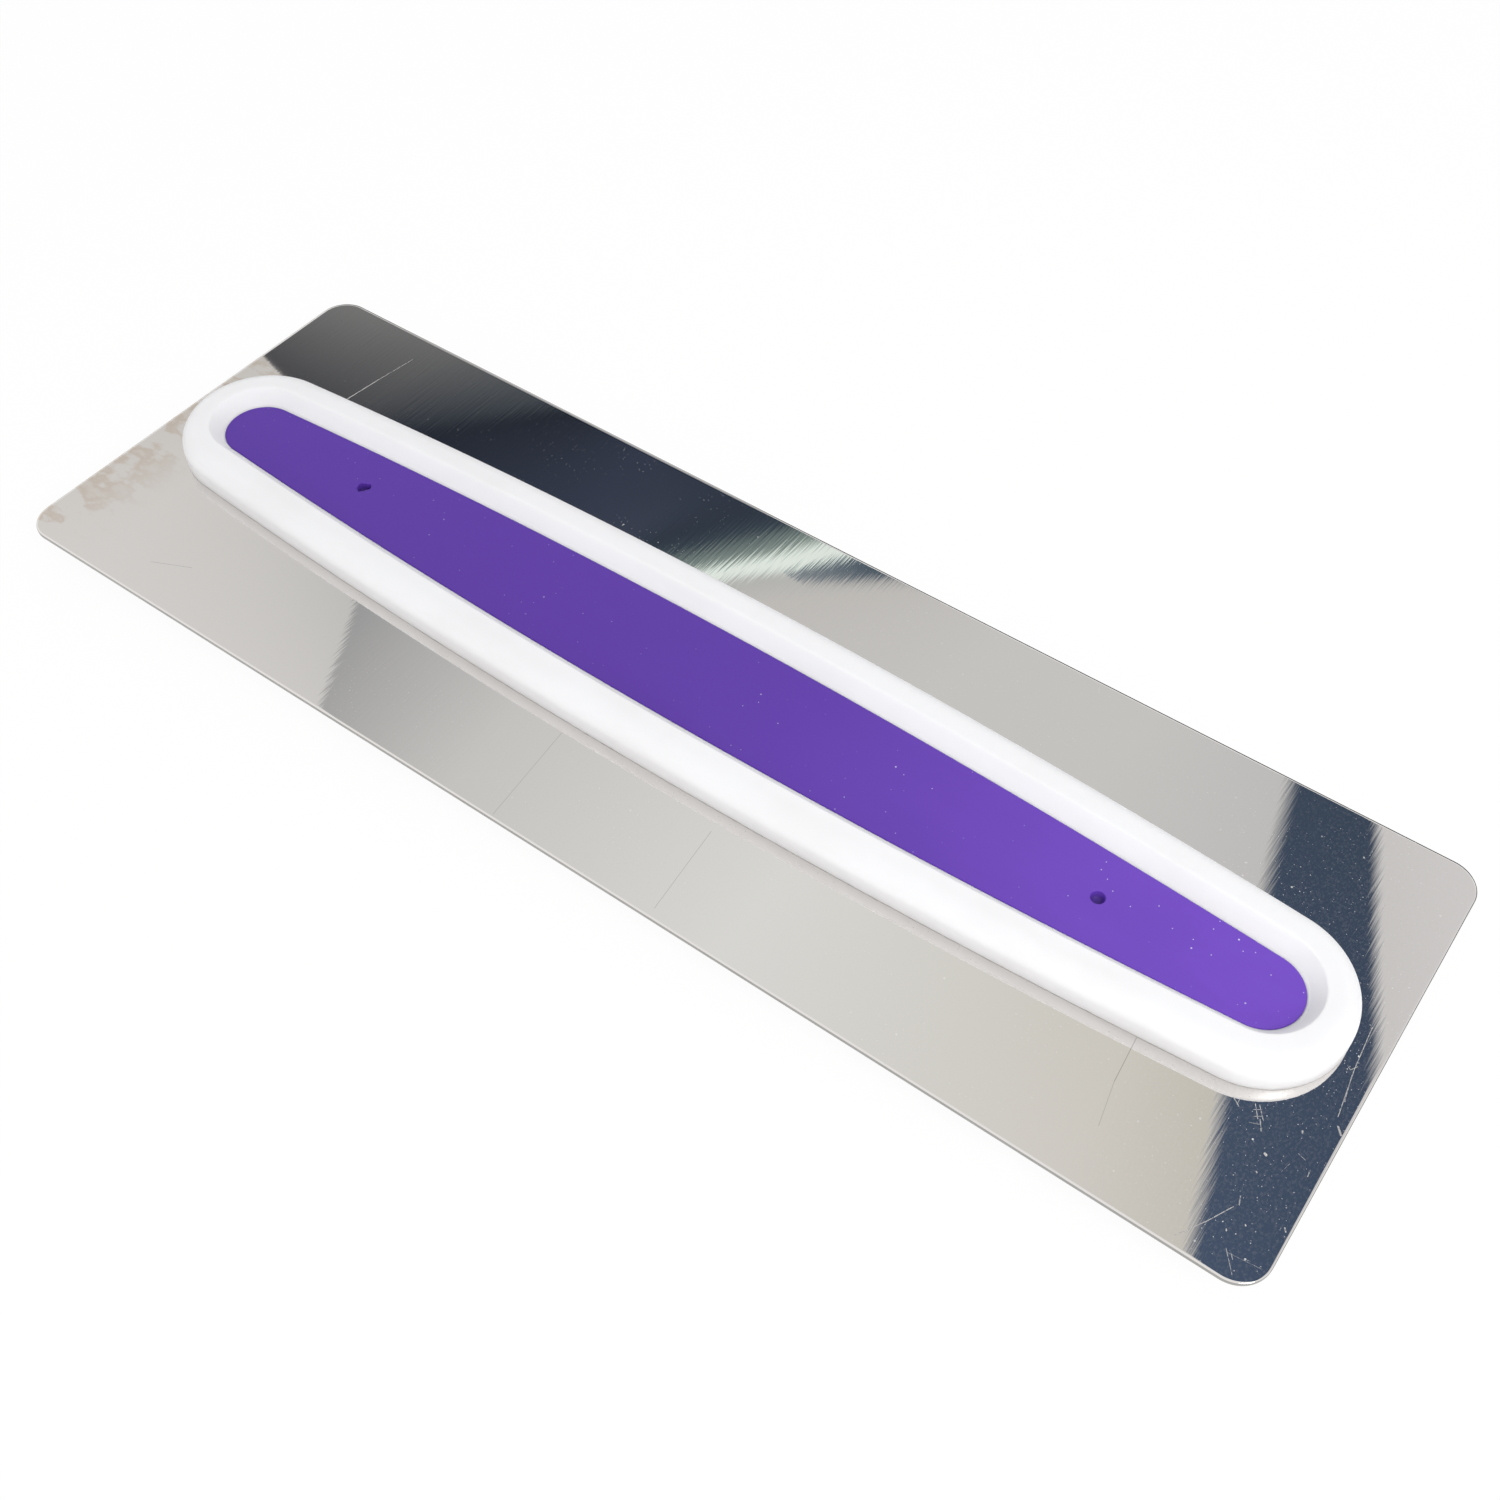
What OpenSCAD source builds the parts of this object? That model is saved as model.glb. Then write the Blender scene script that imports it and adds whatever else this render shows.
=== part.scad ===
// Icing smoother: a thin steel blade clamped between two slim half-shells, each with a soft
// insert moulded into its recess. X runs along the blade, Y across it, Z through it.
// The origin is the centre of the crest that the tool rests on when it lies on a table.

/* [Blade] */
// Length of the two long working edges
blade_l = 228.6; // [200:0.1:320]
// Width of the blade, from one long edge to the other
blade_w = 76.2; // [60:0.1:110]
// Thickness of the steel sheet
blade_t = 0.8; // [0.5:0.1:1.5]
// Radius of the four corners
corner_r = 5; // [2:0.5:12]

/* [Handle outline] */
// Length of each half-shell
handle_l = 218.6; // [190:0.2:240]
// Width of each half-shell at its middle
handle_w = 35.2; // [30:0.2:42]
// Radius of the two long sides, which swell towards the middle
side_r = 1200; // [1100:10:1500]
// Height of each half-shell above the blade
shell_h = 5.8; // [5.4:0.1:9]

/* [Rim] */
// Width of the hard band between the shell's outer edge and the soft insert, at the middle
rim_w = 7.8; // [7:0.1:9.5]
// Width of that band at the two ends
end_rim_w = 7.2; // [6.6:0.1:9]
// Rounding of the rim's outer edge
edge_r = 3.2; // [1.5:0.1:3.8]
// Rounding of the rim's inner edge
crest_r = 0.5; // [0.2:0.1:0.8]
// Width from the rim's inner edge to the insert
slope_w = 2.3; // [2.3:0.1:3]
// Lean of the slope from upright, in degrees
slope_lean = 34; // [12:1:35]
// Radius of the hollow at the foot of the slope
hollow_r = 0.6; // [0.3:0.1:0.7]

/* [Soft insert] */
// Radius of the insert's two long sides
insert_side_r = 1300; // [1200:10:1500]
// Depth of the insert's surface below the crest of the rim
insert_drop = 2.6; // [2.2:0.1:2.7]
// Thickness of the insert
insert_t = 1.6; // [1.4:0.1:2.2]
// Height by which the insert stands above the foot of the slope
insert_proud = 0.2; // [0.1:0.05:0.3]
// Rounding of the insert's upper edge
insert_edge_r = 0.4; // [0.2:0.1:0.8]
// Diameter of the two moulding gate wells
well_d = 2.5; // [1.5:0.1:4]
// Depth of the gate wells
well_depth = 1; // [0.8:0.1:1.2]
// Distance of each gate well from the middle of the insert
well_x = 71; // [40:1:80]

/* [Insert anchors] */
// Number of soft plugs that hold the insert in the shell's floor
anchor_n = 6; // [2:2:6]
// Distance between neighbouring plugs
anchor_pitch = 34; // [12:1:36]
// Diameter of the plugs
anchor_d = 3; // [2:0.1:4]
// Diameter of the flared heads under the floor
anchor_head_d = 4.8; // [4.2:0.1:7]
// Height of the flared heads
anchor_head_h = 0.9; // [0.5:0.1:1]

/* [Moulded shells] */
// Thickness of the outer wall and of the wall beside the insert
wall_t = 1.8; // [1.2:0.1:2]
// Thickness of the rim's roof over the hollow channel
roof_t = 1.8; // [1.4:0.1:2.4]
// Thickness of the ribs across the channel
rib_t = 1.2; // [0.8:0.1:2]
// Distance between neighbouring ribs
rib_pitch = 18; // [12:1:30]

/* [Joining pins] */
// Diameter of the pins that pass through the blade
pin_d = 3; // [2:0.1:3.6]
// Depth of the pins in the sockets of the other shell
pin_depth = 3.5; // [2:0.1:4]
// Number of pins along each side
pin_n = 4; // [2:1:4]
// Distance between neighbouring pins
pin_pitch = 52; // [20:1:56]
// Wall of the bosses around the pins' roots and the sockets
boss_wall = 1.2; // [1:0.1:1.6]

/* [Clearances] */
// Gap between a pin and its socket, on the radius
pin_gap = 0.05; // [0.02:0.01:0.15]
// Gap between a pin and its hole in the blade, on the radius
hole_gap = 0.25; // [0.1:0.05:0.5]
// Gap between a pin's tip and the bottom of its socket
tip_gap = 0.3; // [0.1:0.1:0.8]

/* [Hidden] */

steel = [0.78, 0.78, 0.77];
white = [0.94, 0.94, 0.95];
purple = [0.40, 0.27, 0.67];

// Steps along each long side, round each end, round an edge and round a small corner
side_steps = 14;
end_steps = 22;
edge_steps = 8;
corner_steps = 4;
// Facets of a round pin, hole or corner
round_fn = 64;
// A cut runs this far past the surface that it opens
past = 1;

half_l = handle_l / 2;
half_w = handle_w / 2;

// Heights above the blade's face
insert_top = shell_h - insert_drop;
slope_foot = insert_top - insert_proud;
floor_t = insert_top - insert_t;
blade_z = shell_h;
front_z = shell_h + blade_t;

// Insets from the shell's outline, at the middle
crest_in = rim_w - slope_w;
slope_in = crest_in + (shell_h - slope_foot) * tan(slope_lean);
pin_in = rim_w / 2;

pin_chamfer = pin_d / 6;
boss_r = pin_d / 2 + boss_wall;
rib_n = 2 * floor((half_l - half_w) / rib_pitch) + 1;
cut_h = shell_h + 4 * past;

function unit(v) = v / norm(v);

// Evenly spaced places about the middle
function places(count, pitch) = [for (i = [0 : count - 1]) (i - (count - 1) / 2) * pitch];

// Points of the arc of radius r that rounds corner b of the path a, b, c
function rounded(a, b, c, r, steps) =
    let (
        u = unit(a - b),
        v = unit(c - b),
        half = acos(u * v) / 2,
        centre = b + unit(u + v) * r / sin(half),
        from = b + u * r / tan(half) - centre,
        turn = sign(cross(b - a, c - b)) * (180 - 2 * half)
    )
    [for (i = [0 : steps]) let (t = turn * i / steps)
        centre + [from.x * cos(t) - from.y * sin(t), from.x * sin(t) + from.y * cos(t)]];

// Half of a boat-shaped outline: the +X end, an arc tangent to both sides, and the +Y side, an arc
// of the given radius
function half_outline(length, width, radius) =
    let (
        end_r = (2 * radius * width - width * width - length * length) / (2 * (radius - length)),
        end_x = length - end_r,
        side_a = atan2(end_x, radius - width)
    )
    concat(
        [for (i = [0 : end_steps]) let (a = (90 - side_a) * (2 * i / end_steps - 1))
            [end_x, 0] + end_r * [cos(a), sin(a)]],
        [for (i = [1 : side_steps - 1]) let (a = side_a * (1 - 2 * i / side_steps))
            radius * [sin(a), cos(a)] - [0, radius - width]]
    );

// The whole outline, from its half length, half width and side radius
function outline(length, width, radius) =
    let (half = half_outline(length, width, radius)) concat(half, [for (p = half) -p]);

shell_outline = outline(half_l, half_w, side_r);
insert_outline = outline(half_l - end_rim_w, half_w - rim_w, insert_side_r);

// Solid between the middle and a wall that is swept round the handle. The path gives the wall from
// the upper rim to the lower one, each point as [inset from the shell's outline, height]. Insets are
// those at the middle, and narrow a little round the ends as the two outlines draw together.
module fill_outline(path) {
    n = len(shell_outline);
    m = len(path);
    polyhedron(
        points = [for (i = [0 : n - 1]) for (p = path)
            concat(shell_outline[i] + (insert_outline[i] - shell_outline[i]) * p.x / rim_w, p.y)],
        faces = concat(
            [for (i = [0 : n - 1]) let (j = (i + 1) % n) for (k = [0 : m - 2])
                each [[i * m + k, j * m + k, j * m + k + 1], [i * m + k, j * m + k + 1, i * m + k + 1]]],
            [[for (i = [n - 1 : -1 : 0]) i * m]],
            [[for (i = [0 : n - 1]) i * m + m - 1]]
        )
    );
}

// Wall of a half-shell, from the floor under the insert, up the slope, over the rim and down to the blade
function shell_path() =
    let (
        pocket = [rim_w, slope_foot],
        foot = [slope_in, slope_foot],
        crest = [crest_in, shell_h],
        edge = [0, shell_h],
        bottom = [0, 0]
    )
    concat(
        [[rim_w, floor_t], pocket],
        rounded(pocket, foot, crest, hollow_r, corner_steps),
        rounded(foot, crest, edge, crest_r, corner_steps),
        rounded(crest, edge, bottom, edge_r, edge_steps),
        [bottom]
    );

// Wall of the insert
function insert_path() =
    let (
        edge = [rim_w, insert_top],
        bottom = [rim_w, floor_t]
    )
    concat(rounded(edge + [past, 0], edge, bottom, insert_edge_r, corner_steps), [bottom]);

// Walls of the channel under the rim: the outer one upright, the inner one leaning with the slope
function channel_outside() = [[wall_t, shell_h - roof_t], [wall_t, -past]];
function channel_inside() = [
    [crest_in - wall_t, shell_h],
    [crest_in - wall_t, shell_h - roof_t],
    [rim_w - wall_t, slope_foot - wall_t],
    [rim_w - wall_t, -2 * past]
];

// Puts its children at every pin, on both long sides
module at_pins() {
    for (side = [-1, 1])
        for (x = places(pin_n, pin_pitch))
            translate([x, side * (sqrt(pow(side_r - pin_in, 2) - x * x) - side_r + half_w), 0]) children();
}

module at_anchors() {
    for (x = places(anchor_n, anchor_pitch))
        translate([x, 0, 0]) children();
}

// Channel that keeps the rim's walls even, with ribs and bosses left standing in it
module channel() {
    difference() {
        fill_outline(channel_outside());
        fill_outline(channel_inside());
        for (x = places(rib_n, rib_pitch))
            translate([x - rib_t / 2, -half_w, -2 * past]) cube([rib_t, handle_w, cut_h]);
        translate([-half_l, -rib_t / 2, -2 * past]) cube([handle_l, rib_t, cut_h]);
        at_pins() translate([0, 0, -2 * past]) cylinder(r = boss_r, h = cut_h, $fn = round_fn);
    }
}

// Soft plug through the shell's floor, flared below. The hole has the same form.
module anchor() {
    cylinder(d = anchor_d, h = floor_t + insert_t / 2, $fn = round_fn);
    cylinder(d1 = anchor_head_d, d2 = anchor_d, h = anchor_head_h, $fn = round_fn);
}

// Half-shell with its joining face at z = 0
module shell_body() {
    difference() {
        fill_outline(shell_path());
        channel();
        at_anchors() anchor();
    }
}

// Pin that passes through the blade, pointing down from the joining face
module pin() {
    reach = blade_t + pin_depth;
    translate([0, 0, pin_chamfer - reach])
        cylinder(d = pin_d, h = reach - pin_chamfer + past, $fn = round_fn);
    translate([0, 0, -reach])
        cylinder(d1 = pin_d - 2 * pin_chamfer, d2 = pin_d, h = pin_chamfer, $fn = round_fn);
}

module socket() {
    translate([0, 0, -past])
        cylinder(r = pin_d / 2 + pin_gap, h = pin_depth + tip_gap + past, $fn = round_fn);
}

// Round-bottomed well that the moulding gate leaves in the insert's surface
module gate_well() {
    well_r = well_d / 2;
    translate([0, 0, well_r - well_depth]) {
        sphere(r = well_r, $fn = round_fn);
        cylinder(r = well_r, h = well_depth + past, $fn = round_fn);
    }
}

// Soft insert with the blade's face at z = 0
module grip_body() {
    difference() {
        union() {
            fill_outline(insert_path());
            at_anchors() anchor();
        }
        for (side = [-1, 1])
            translate([side * well_x, 0, insert_top]) gate_well();
    }
}

// Turns a body of the front over, on to the blade's back
module on_back() {
    translate([0, 0, blade_z]) mirror([0, 0, 1]) children();
}

module blade() {
    core_l = blade_l - 2 * corner_r;
    core_w = blade_w - 2 * corner_r;
    color(steel) translate([0, 0, blade_z]) difference() {
        union() {
            translate([-core_l / 2, -blade_w / 2, 0]) cube([core_l, blade_w, blade_t]);
            translate([-blade_l / 2, -core_w / 2, 0]) cube([blade_l, core_w, blade_t]);
            for (x = [-1, 1])
                for (y = [-1, 1])
                    translate([x * core_l / 2, y * core_w / 2, 0])
                        cylinder(r = corner_r, h = blade_t, $fn = round_fn);
        }
        at_pins() translate([0, 0, -past])
            cylinder(r = pin_d / 2 + hole_gap, h = blade_t + 2 * past, $fn = round_fn);
    }
}

module front_shell() {
    color(white) translate([0, 0, front_z]) union() {
        shell_body();
        at_pins() pin();
    }
}

module back_shell() {
    color(white) on_back() difference() {
        shell_body();
        at_pins() socket();
    }
}

module front_grip() {
    color(purple) translate([0, 0, front_z]) grip_body();
}

module back_grip() {
    color(purple) on_back() grip_body();
}

blade();
front_shell();
back_shell();
front_grip();
back_grip();
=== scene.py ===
"""Icing smoother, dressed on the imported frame.

A bright steel sheet lies between two white half-shells, each with a soft purple insert in its
recess. Lengths in the classes are millimetres, and the meshes that they build are in metres.
"""

import logging
import math
from collections.abc import Sequence
from dataclasses import dataclass
from enum import Enum
from functools import reduce
from itertools import pairwise

import bmesh
import bpy
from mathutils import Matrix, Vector


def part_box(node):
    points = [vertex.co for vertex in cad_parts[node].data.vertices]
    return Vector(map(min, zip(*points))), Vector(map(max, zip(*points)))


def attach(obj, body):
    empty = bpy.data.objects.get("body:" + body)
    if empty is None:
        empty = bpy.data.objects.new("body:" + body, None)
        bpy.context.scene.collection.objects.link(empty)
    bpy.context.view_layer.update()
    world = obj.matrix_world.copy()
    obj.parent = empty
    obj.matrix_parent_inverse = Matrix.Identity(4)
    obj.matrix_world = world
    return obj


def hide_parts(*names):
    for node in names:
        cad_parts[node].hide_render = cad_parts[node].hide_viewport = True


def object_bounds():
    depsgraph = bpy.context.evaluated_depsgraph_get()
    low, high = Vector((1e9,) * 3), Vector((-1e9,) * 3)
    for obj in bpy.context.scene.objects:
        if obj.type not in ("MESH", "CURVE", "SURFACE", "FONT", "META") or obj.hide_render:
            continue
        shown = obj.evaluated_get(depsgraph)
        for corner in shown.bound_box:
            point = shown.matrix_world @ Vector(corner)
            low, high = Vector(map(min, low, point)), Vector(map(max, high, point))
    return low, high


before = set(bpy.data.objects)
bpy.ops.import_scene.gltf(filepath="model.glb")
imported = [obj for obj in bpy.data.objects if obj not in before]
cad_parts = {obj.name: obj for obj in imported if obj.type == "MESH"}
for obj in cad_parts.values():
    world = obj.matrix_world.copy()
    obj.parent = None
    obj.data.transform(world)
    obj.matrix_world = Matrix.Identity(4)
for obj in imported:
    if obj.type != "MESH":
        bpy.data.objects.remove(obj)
CAD_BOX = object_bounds()

MM = 0.001
PHOTO_SIDE = 1500
WHITE = "#FFFFFF"
SMOOTH = {"interpolation_type": "SMOOTHSTEP"}
LOG = logging.getLogger("icing_smoother")

Colour = tuple[float, float, float, float]
Point = tuple[float, float]
Triple = tuple[float, float, float]
Socket = bpy.types.NodeSocket
Station = tuple[Vector, Vector]
Ring = list[bmesh.types.BMVert]


class Side(Enum):
    """Face of the blade that a half-shell or an insert sits on."""

    FRONT = 1
    BACK = -1


def srgb(code: str) -> Colour:
    """Turn an sRGB hex colour into linear light.

    Args:
        code: colour as #RRGGBB.

    Returns:
        Red, green, blue and an alpha of 1.
    """
    channels = [int(code[i : i + 2], 16) / 255 for i in (1, 3, 5)]
    linear = [c / 12.92 if c <= 0.04045 else ((c + 0.055) / 1.055) ** 2.4 for c in channels]
    return (linear[0], linear[1], linear[2], 1.0)


def node_box(node: str) -> tuple[Vector, Vector]:
    """Read a node's box from the frame.

    Args:
        node: name of the node in the frame.

    Returns:
        Lowest and highest corner in millimetres.
    """
    low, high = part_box(node)
    return Vector(low) / MM, Vector(high) / MM


def blade_face(side: Side) -> float:
    """Read the height of one face of the blade, in millimetres."""
    low, high = node_box("blade")
    return high.z if side is Side.FRONT else low.z


def new_material(title: str) -> bpy.types.Material:
    """Start a material that is made of nodes.

    Args:
        title: name of the material.

    Returns:
        The material.
    """
    material = bpy.data.materials.new(title)
    material.use_nodes = True
    return material


def mesh_object(title: str, mesh: bmesh.types.BMesh, *materials: bpy.types.Material) -> bpy.types.Object:
    """Turn a mesh into an object of the scene.

    Args:
        title: name of the object.
        mesh: its mesh, which is used up.
        materials: its materials.

    Returns:
        The object.
    """
    data = bpy.data.meshes.new(title)
    mesh.to_mesh(data)
    mesh.free()
    for material in materials:
        data.materials.append(material)
    made = bpy.data.objects.new(title, data)
    bpy.context.scene.collection.objects.link(made)
    return made


# Finishes


@dataclass(frozen=True)
class Specks:
    """Dust specks: size of the cells they lie in, radius of the largest, and share of cells with one."""

    cell: float
    radius: float
    share: float


@dataclass(frozen=True)
class Stroke:
    """Scratch on the sheet: its ends, half its width and its strength from 0 to 1."""

    start: Point
    end: Point
    half_width: float
    strength: float


class Nodes:
    """Node tree of a finish or of a part of the studio."""

    def __init__(self, tree: bpy.types.NodeTree) -> None:
        """Start with an empty tree.

        Args:
            tree: node tree of a material or of the world.
        """
        tree.nodes.clear()
        self.tree = tree

    def add(
        self,
        kind: str,
        inputs: dict[str | int, object] | Sequence[object] = (),
        out: str | int = 0,
        **settings: object,
    ) -> Socket:
        """Add a node with its settings and links.

        Args:
            kind: Blender's name for the node type, without its ShaderNode.
            inputs: values in the order of the inputs, or by name or number. A socket makes a link.
            out: name or number of the output that is wanted.
            settings: properties of the node itself.

        Returns:
            The wanted output of the new node.
        """
        node = self.tree.nodes.new(f"ShaderNode{kind}")
        for name, value in settings.items():
            setattr(node, name, value)
        for key, value in inputs.items() if isinstance(inputs, dict) else enumerate(inputs):
            if isinstance(value, Socket):
                self.tree.links.new(value, node.inputs[key])
            else:
                node.inputs[key].default_value = value
        return node.outputs[out]

    def end(self, shader: Socket, output: str = "OutputMaterial") -> None:
        """Link the finished shader to the tree's output."""
        node = self.tree.nodes.new(f"ShaderNode{output}")
        self.tree.links.new(shader, node.inputs["Surface"])


class Pattern(Nodes):
    """Node tree of a finish, whose patterns are laid out in millimetres on the object."""

    def __init__(self, tree: bpy.types.NodeTree) -> None:
        """Start with the position on the object.

        Args:
            tree: node tree of the material.
        """
        super().__init__(tree)
        place = self.add("TexCoord", out="Object")
        self.place = self.add("VectorMath", {0: place, "Scale": 1 / MM}, operation="SCALE")
        self.x = self.add("SeparateXYZ", (self.place,), "X")
        self.y = self.x.node.outputs["Y"]
        self.z = self.x.node.outputs["Z"]

    def combine(self, operation: str, *values: Socket | float) -> Socket:
        """Combine masks or heights, one after another.

        Args:
            operation: Blender's name of the operation.
            values: the masks or heights.

        Returns:
            Their combination.
        """
        return reduce(lambda a, b: self.add("Math", (a, b), operation=operation), values)

    def mottle(self, size: Triple, detail: float = 2.0) -> Socket:
        """Add a random pattern whose features have a real size.

        Args:
            size: size of a feature along X, Y and Z in millimetres.
            detail: octaves of finer detail.

        Returns:
            Pattern from 0 to 1, about 0.5 on average.
        """
        cell = self.add("VectorMath", (self.place, tuple(1 / s for s in size)), operation="MULTIPLY")
        return self.add("TexNoise", {"Vector": cell, "Scale": 1.0, "Detail": detail}, "Fac")

    def relief(self, *layers: tuple[Socket, float], normal: Socket | None = None) -> Socket:
        """Raise patterns off the surface.

        Args:
            layers: each pattern with its height in millimetres.
            normal: normal of the surface, where it isn't the mesh's own.

        Returns:
            Normal of the raised surface.
        """
        height = self.combine("ADD", *(self.combine("MULTIPLY", *layer) for layer in layers))
        under = {} if normal is None else {"Normal": normal}
        return self.add("Bump", {"Strength": 1.0, "Distance": MM, "Height": height, **under})

    def scatter(self, kinds: Sequence[Specks]) -> Socket:
        """Scatter round specks.

        Args:
            kinds: each kind of speck.

        Returns:
            Mask of the specks.
        """
        masks: list[Socket] = []
        for kind in kinds:
            cells = {"Vector": self.place, "Scale": 1 / kind.cell}
            gap = self.add("TexVoronoi", cells, "Distance", voronoi_dimensions="2D")
            rim = kind.radius / kind.cell
            near = self.add("MapRange", (gap, rim, 0.5 * rim, 0.0, 1.0), **SMOOTH)
            pick = self.add("SeparateColor", (gap.node.outputs["Color"],), "Red")
            chosen = self.add("Math", (pick, kind.share), operation="LESS_THAN")
            masks.append(self.combine("MULTIPLY", near, chosen))
        return self.combine("MAXIMUM", *masks)

    def scratch(self, strokes: Sequence[Stroke], height: float) -> Socket:
        """Draw scratches.

        Args:
            strokes: the scratches.
            height: height of the face that they lie on.

        Returns:
            Mask that is as strong as each scratch is.
        """
        masks: list[Socket] = []
        for stroke in strokes:
            start = Vector((*stroke.start, height))
            run = Vector((*stroke.end, height)) - start
            away = self.add("VectorMath", (self.place, start), operation="SUBTRACT")
            reach = self.add("VectorMath", (away, run / run.length), "Value", operation="DOT_PRODUCT")
            held = self.add("Clamp", (reach, 0.0, run.length))
            foot = self.add("VectorMath", {0: run / run.length, "Scale": held}, operation="SCALE")
            gap = self.add("VectorMath", (away, foot), "Value", operation="DISTANCE")
            fade = (stroke.half_width, 0.3 * stroke.half_width)
            masks.append(self.add("MapRange", (gap, *fade, 0.0, stroke.strength), **SMOOTH))
        return self.combine("MAXIMUM", *masks)


@dataclass(frozen=True)
class Finish:
    """Procedural material of one real surface."""

    title: str

    def material(self) -> bpy.types.Material:
        """Build the material.

        Returns:
            The material.
        """
        material = new_material(self.title)
        pattern = Pattern(material.node_tree)
        pattern.end(self.shader(pattern))
        return material

    def shader(self, pattern: Pattern) -> Socket:
        """Build the shader of this finish.

        Args:
            pattern: node tree of the material.

        Returns:
            The finished shader.
        """
        raise NotImplementedError


@dataclass(frozen=True)
class BrightRolledStainless(Finish):
    """Stainless steel sheet, cold rolled and bright finished.

    It mirrors the room almost cleanly. Its rolling and polishing lines run across the sheet,
    and comb the borders of what it mirrors.
    """

    colour: str = "#E2DFDC"
    roughness: float = 0.015
    # Wiping leaves the mirror a little hazier in broad stripes
    wipe_patch: Triple = (14.0, 30.0, 8.0)
    wipe_haze: float = 0.015
    # Polishing lines are some hundredths of a millimetre apart, too fine to show, so they are
    # drawn this coarse
    line_pitch: float = 0.42
    line_run: float = 9.0
    line_height: float = 0.0026
    band_pitch: float = 1.1
    band_height: float = 0.0007
    # The sheet is flat to about this much, which bends what it mirrors
    wave_size: float = 16.0
    wave_height: float = 0.018
    # Water has dried in brownish smears at the left end. They start at the first place and are
    # at full strength at the second
    stain: str = "#BFA88E"
    stain_x: Point = (-99.0, -113.0)
    stain_y: Point = (19.0, 13.0)
    stain_patch: Triple = (7.0, 4.0, 4.0)
    stain_share: float = 0.42
    # Dust lies in patches, thinly on the left and thickest on the right, where it is handled
    dust: str = "#DCDDDC"
    specks: tuple[Specks, ...] = (Specks(0.8, 0.07, 0.2), Specks(1.9, 0.1, 0.2), Specks(6.5, 0.19, 0.2))
    dust_patch: Triple = (13.0, 8.0, 8.0)
    unwiped_x: Point = (-75.0, -25.0)
    handled_x: Point = (75.0, 100.0)
    handled_dust: float = 0.25
    handled_spread: float = 2.2
    film_grain: Triple = (0.35, 0.5, 0.5)
    film_share: float = 0.22
    # Scratches are rough inside, so they show pale where the sheet mirrors something dark
    scratch_roughness: float = 0.55
    scratch_grain: float = 0.5
    strokes: tuple[Stroke, ...] = (
        Stroke((-90.8, 32.3), (-91.9, 24.4), 0.1, 0.6),
        Stroke((-91.9, 24.4), (-92.9, 15.5), 0.13, 0.8),
        Stroke((110.6, 5.4), (111.2, -1.8), 0.08, 1.0),
        Stroke((111.2, -1.8), (112.3, -9.6), 0.07, 0.9),
        Stroke((110.2, -1.9), (110.8, -2.3), 0.07, 0.8),
        Stroke((110.8, -2.3), (111.4, -1.3), 0.07, 0.8),
        Stroke((111.3, -2.9), (112.1, -7.1), 0.06, 0.8),
        Stroke((112.9, -10.9), (113.7, -11.8), 0.2, 0.8),
        Stroke((106.7, -28.8), (104.9, -32.4), 0.08, 0.8),
        Stroke((104.9, -32.4), (102.4, -36.6), 0.07, 0.7),
        Stroke((102.7, -14.2), (103.9, -16.0), 0.08, 0.8),
        Stroke((103.2, -14.0), (104.6, -15.8), 0.08, 0.8),
        Stroke((102.8, -15.2), (103.8, -14.4), 0.07, 0.7),
        Stroke((103.3, -16.0), (104.4, -15.2), 0.07, 0.7),
        Stroke((104.2, -15.9), (105.0, -17.3), 0.11, 0.8),
        Stroke((103.2, -17.1), (104.4, -16.6), 0.07, 0.6),
        Stroke((99.9, -15.0), (101.1, -15.8), 0.08, 0.6),
        Stroke((100.7, -14.6), (100.8, -15.7), 0.07, 0.5),
        Stroke((108.4, -34.3), (110.5, -36.9), 0.06, 0.7),
        Stroke((108.6, -34.7), (113.5, -34.1), 0.05, 0.5),
        Stroke((108.9, -34.2), (109.7, -35.1), 0.09, 0.6),
        Stroke((110.0, -19.3), (109.6, -21.0), 0.05, 0.6),
        Stroke((110.3, -17.4), (111.4, -17.7), 0.06, 0.7),
        Stroke((112.5, -18.6), (112.6, -19.6), 0.08, 0.8),
        Stroke((106.8, -19.9), (107.0, -20.0), 0.28, 1.0),
        Stroke((109.4, -14.2), (109.5, -14.4), 0.18, 1.0),
        Stroke((107.0, -22.8), (107.1, -22.9), 0.15, 0.9),
        Stroke((109.0, -30.1), (109.1, -30.2), 0.14, 0.9),
        Stroke((113.2, -27.6), (113.5, -28.0), 0.16, 0.9),
        Stroke((107.3, -32.0), (107.4, -32.2), 0.13, 0.9),
        Stroke((106.8, -27.0), (107.2, -28.2), 0.12, 0.6),
    )
    # Finer grooves show as dark hairlines where the sheet mirrors something pale
    groove: str = "#5E5C5A"
    grooves: tuple[Stroke, ...] = (
        Stroke((-90.0, -31.6), (-83.5, -28.6), 0.07, 0.35),
        Stroke((-11.2, -19.7), (-9.5, -37.4), 0.07, 0.3),
        Stroke((18.5, -21.0), (20.0, -36.4), 0.07, 0.35),
        Stroke((85.4, -14.7), (86.1, -22.2), 0.08, 0.45),
        Stroke((86.1, -22.2), (87.5, -29.0), 0.07, 0.3),
    )

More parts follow.
